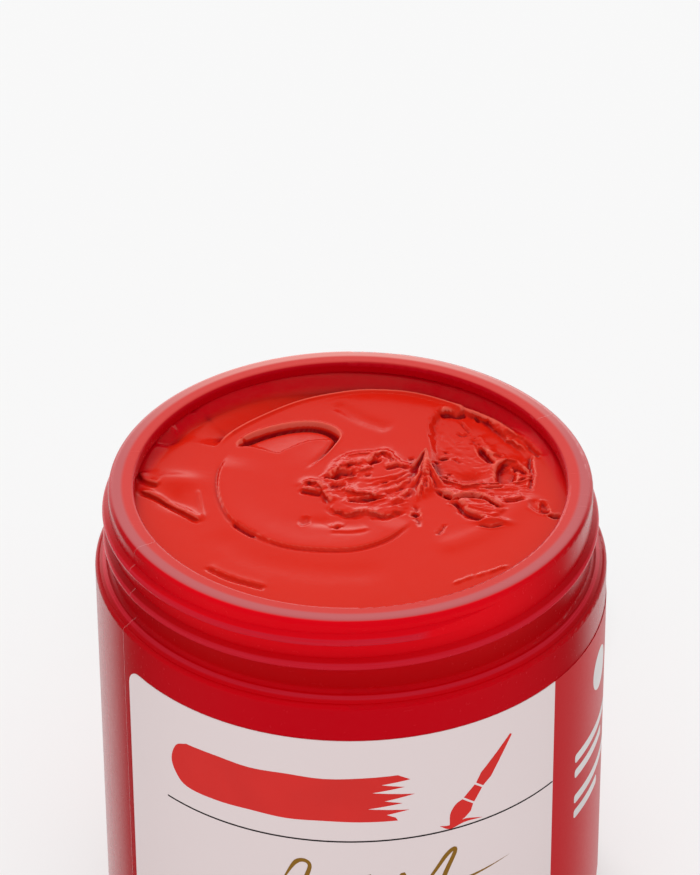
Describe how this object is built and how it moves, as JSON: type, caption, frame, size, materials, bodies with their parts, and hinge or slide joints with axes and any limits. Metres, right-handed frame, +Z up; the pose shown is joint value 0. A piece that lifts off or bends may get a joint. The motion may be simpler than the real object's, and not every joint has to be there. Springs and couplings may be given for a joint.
{
  "type": "paint jar",
  "caption": "Open wide-mouth screw-neck jar filled with thick red paint, with a wrap-round label, and its ribbed screw lid lying upside down behind it.",
  "frame": {"origin": "centre of the jar's foot, on the surface that the jar stands on", "axes": "+Z up along the jar's axis, -Y the front of the label, +X to the right as the label is read, +Y towards the lid"},
  "size_m": [0.0934, 0.1914, 0.092],
  "materials": {
    "jar_plastic": "satin, milky polypropylene that shows the paint behind it",
    "label_film": "satin printed film, white in front and red round the side",
    "paint": "wet gloss, thick and scooped",
    "lid_plastic": "satin moulded polypropylene, ribbed",
    "liner_foam": "fine-celled foam with a smooth skin"
  },
  "bodies": {
    "jar": {"jar_shell": "jar_plastic", "wrap_label": "label_film", "paint": "paint"},
    "lid": {"lid_shell": "lid_plastic", "lid_liner": "liner_foam"}
  },
  "joints": [
    {"name": "lid_lift", "type": "slide", "parent": "jar", "child": "lid", "axis": [0, 0, 1], "range_m": [0, 0.12]}
  ]
}
